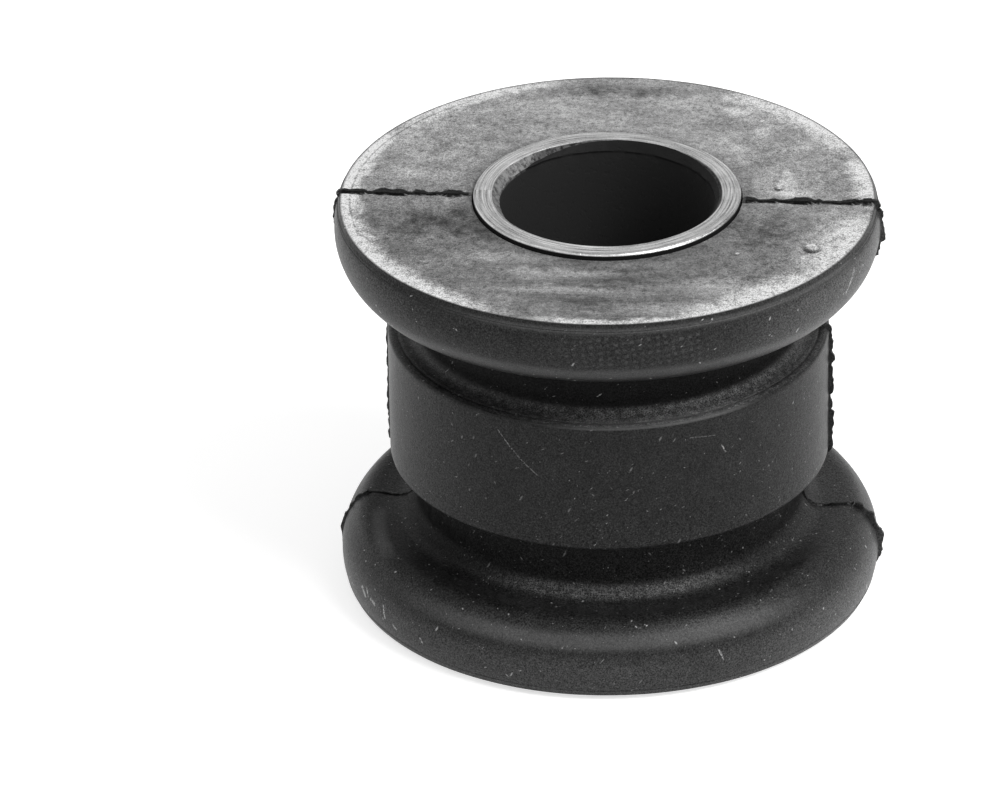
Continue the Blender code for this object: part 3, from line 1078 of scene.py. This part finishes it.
class BUSHING_OT_raise_blisters(Step, Operator):
    """Raise the small blisters on the upper face, and paint shade on the front of their rims"""

    bl_idname = "bushing.raise_blisters"
    bl_label = "Raise the blisters"

    def execute(self, context):
        rubber = context.scene.bushing_rubber
        spool = bpy.data.objects["rubber_spool"]
        top = SLEEVE_HIGH.z - rubber.proud
        for x, y, radius_mm, height_mm in BLISTERS:
            centre = Vector((x * MM, y * MM))
            radius = radius_mm * MM
            reach = radius * BLISTER_REACH + FACE_STEP
            pick(spool)
            enter("EDIT")
            bpy.ops.mesh.select_mode(type="FACE")
            bpy.ops.mesh.select_all(action="DESELECT")
            work = bmesh.from_edit_mesh(spool.data)
            for face in work.faces:
                middle = face.calc_center_median()
                face.select = abs(middle.z - top) < BLISTER_LEVEL and (middle.xy - centre).length < reach
            bmesh.update_edit_mesh(spool.data)
            bpy.ops.mesh.subdivide(number_cuts=BLISTER_CUTS)
            enter("OBJECT")
            marks = spool.data.attributes["flash"]
            for vertex in spool.data.vertices:
                if abs(vertex.co.z - top) > BLISTER_LEVEL * 1.5:
                    continue
                near = (vertex.co.xy - centre).length / radius
                if near < 1.0:
                    vertex.co.z += height_mm * MM * math.sqrt(1.0 - near * near)
                elif near < DIP_END:
                    vertex.co.z -= DIP_DEPTH * math.sin((near - 1.0) / (DIP_END - 1.0) * math.pi)
                # Painted shade: the flash attribute also darkens the front of each blister's rim
                if 0.7 < near < 1.3:
                    in_front = 0.5 - 0.5 * (vertex.co.y - centre.y) / (near * radius)
                    ring = falling(abs(near - 1.0), 0.1, 0.3)
                    marks.data[vertex.index].value = RING_SHADE * in_front * ring
            spool.data.update()
        smooth(spool)
        return {"FINISHED"}


# The stage

# Place, size and power of each softbox
KEY = ((0.54, -0.31, 0.69), (0.50, 0.40), 6.5)
FILL = ((-0.6, -0.2, 0.8), (0.8, 0.8), 0.6)
ROOM_LIGHT = 0.55
FLOOR_GLOW = 0.63
AIM = (-11.28 * MM, -0.789 * MM, 21.125 * MM)


def seen_directly(tree):
    """One for rays from the camera, a gloss or a glass, and nothing for the rest."""
    rays = tree.nodes.new("ShaderNodeLightPath")
    seen = rays.outputs["Is Camera Ray"]
    for name in ("Is Glossy Ray", "Is Transmission Ray"):
        either = tree.nodes.new("ShaderNodeMath")
        either.operation = "MAXIMUM"
        tree.links.new(seen, either.inputs[0])
        tree.links.new(rays.outputs[name], either.inputs[1])
        seen = either.outputs[0]
    return seen


def pale_floor():
    w = Wiring("pale_floor")
    place = w.place_mm()
    tone = w.noise(place, 0.004, 2.0)
    w.finish("Base Color", w.plus(0.69, tone, 0.02))
    w.finish("Roughness", 0.9)
    w.finish("Specular IOR Level", 0.0)
    glow = w.tree.nodes.new("ShaderNodeEmission")
    w.set(glow.inputs["Strength"], w.product(seen_directly(w.tree), FLOOR_GLOW))
    both = w.tree.nodes.new("ShaderNodeAddShader")
    w.tree.links.new(w.shader.outputs[0], both.inputs[0])
    w.tree.links.new(glow.outputs[0], both.inputs[1])
    w.tree.links.new(both.outputs[0], w.tree.nodes["Material Output"].inputs["Surface"])
    return w.material


def studio_world():
    """A dim even room for the light, and plain white where the camera or a gloss sees it."""
    world = bpy.data.worlds.new("studio")
    world.use_nodes = True
    tree = world.node_tree
    strength = tree.nodes.new("ShaderNodeMapRange")
    strength.inputs["To Min"].default_value = ROOM_LIGHT
    strength.inputs["To Max"].default_value = 1.0
    tree.links.new(seen_directly(tree), strength.inputs["Value"])
    tree.links.new(strength.outputs[0], tree.nodes["Background"].inputs["Strength"])
    tree.nodes["Background"].inputs["Color"].default_value = (1.0, 1.0, 1.0, 1.0)
    return world


def softbox(name, place, size, power):
    bpy.ops.object.light_add(type="AREA", location=place)
    lamp = bpy.context.object
    lamp.name = name
    lamp.data.shape = "RECTANGLE"
    lamp.data.size, lamp.data.size_y = size
    lamp.data.energy = power
    lamp.rotation_euler = (Vector(AIM) - Vector(place)).to_track_quat("-Z", "Y").to_euler()


class BUSHING_OT_set_stage(Step, Operator):
    """Set the floor, the lamps, the room and the camera"""

    bl_idname = "bushing.set_stage"
    bl_label = "Set the stage"

    def execute(self, context):
        stage = context.scene.bushing_stage
        start_clean()
        bpy.ops.mesh.primitive_plane_add(size=stage.floor)
        floor = context.object
        floor.name = "studio_floor"
        floor.data.materials.append(pale_floor())
        softbox("key_softbox", *KEY)
        softbox("fill_softbox", *FILL)
        context.scene.world = studio_world()

        a, e = stage.azimuth, stage.elevation
        back = Vector((math.sin(a) * math.cos(e), -math.cos(a) * math.cos(e), math.sin(e)))
        spot = Vector((0.0, 0.0, stage.middle)) + back * stage.distance
        bpy.ops.object.camera_add(location=spot)
        camera = context.object
        camera.name = "studio_camera"
        look = (Vector(AIM) - spot).to_track_quat("-Z", "Y")
        camera.rotation_euler = (look @ Euler((0.0, 0.0, stage.roll)).to_quaternion()).to_euler()
        camera.data.lens = stage.lens
        camera.data.sensor_width = 36.0
        context.scene.camera = camera
        context.scene.view_settings.view_transform = "Standard"
        return {"FINISHED"}


class BUSHING_PT_panel(Panel):
    bl_idname = "BUSHING_PT_panel"
    bl_label = "Bushing"
    bl_space_type = "VIEW_3D"
    bl_region_type = "UI"
    bl_category = "Bushing"

    def draw(self, context):
        groups = (
            (context.scene.bushing_sleeve, (BUSHING_OT_turn_sleeve,)),
            (context.scene.bushing_rubber, (BUSHING_OT_mould_rubber,)),
            (context.scene.bushing_flash, (BUSHING_OT_raise_flash, BUSHING_OT_raise_blisters)),
            (context.scene.bushing_stage, (BUSHING_OT_set_stage,)),
        )
        for sizes, steps in groups:
            box = self.layout.box()
            for name in type(sizes).__annotations__:
                box.prop(sizes, name)
            for step in steps:
                box.operator(step.bl_idname)


GROUPS = {
    "bushing_sleeve": SleeveSizes,
    "bushing_rubber": RubberSizes,
    "bushing_flash": FlashSizes,
    "bushing_stage": StageSizes,
}
CLASSES = (
    *GROUPS.values(),
    BUSHING_OT_turn_sleeve,
    BUSHING_OT_mould_rubber,
    BUSHING_OT_raise_flash,
    BUSHING_OT_raise_blisters,
    BUSHING_OT_set_stage,
    BUSHING_PT_panel,
)


def register():
    for made in CLASSES:
        bpy.utils.register_class(made)
    for name, group in GROUPS.items():
        setattr(bpy.types.Scene, name, PointerProperty(type=group))


def unregister():
    for name in GROUPS:
        delattr(bpy.types.Scene, name)
    for made in reversed(CLASSES):
        bpy.utils.unregister_class(made)


def main():
    register()
    bpy.ops.bushing.turn_sleeve()
    bpy.ops.bushing.mould_rubber()
    bpy.ops.bushing.raise_flash()
    bpy.ops.bushing.raise_blisters()
    bpy.ops.bushing.set_stage()


if __name__ == "__main__":
    main()
